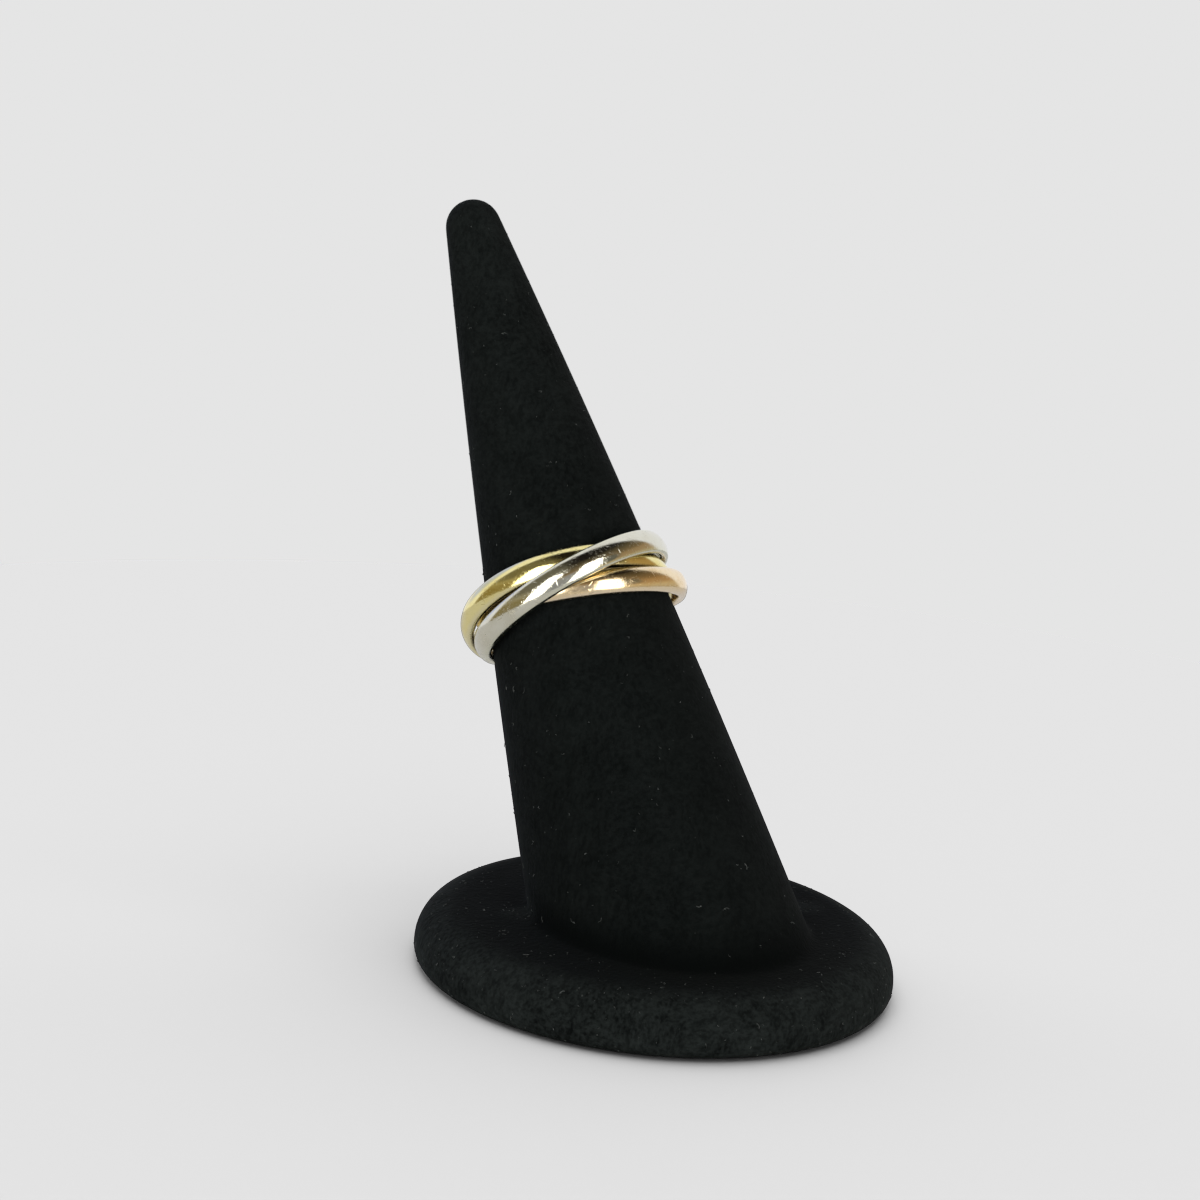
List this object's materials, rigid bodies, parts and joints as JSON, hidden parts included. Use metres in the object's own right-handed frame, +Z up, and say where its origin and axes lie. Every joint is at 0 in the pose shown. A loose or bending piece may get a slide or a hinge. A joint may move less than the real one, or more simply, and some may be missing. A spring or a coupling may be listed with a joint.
{
  "type": "triple band ring on a finger stand",
  "caption": "Linked domed bands in yellow, white and rose gold, nested as one rolling ring round a leaning velvet finger stand on a round soft-edged disc.",
  "frame": {"origin": "middle of the stand's flat underside, where it rests", "axes": "+Z up, +Y towards the back, where the finger leans, +X to the right as seen from the front"},
  "size_m": [0.0444, 0.0557, 0.0677],
  "materials": {
    "yellow_gold": "polished yellow gold with fine wear scratches",
    "white_gold": "polished white gold, slightly warm grey",
    "rose_gold": "polished rose gold",
    "velvet": "short black flocked velvet pile, matt"
  },
  "bodies": {
    "root": {"band_yellow": "yellow_gold", "band_white": "white_gold", "band_rose": "rose_gold", "stand_finger": "velvet", "stand_base": "velvet"}
  },
  "joints": []
}
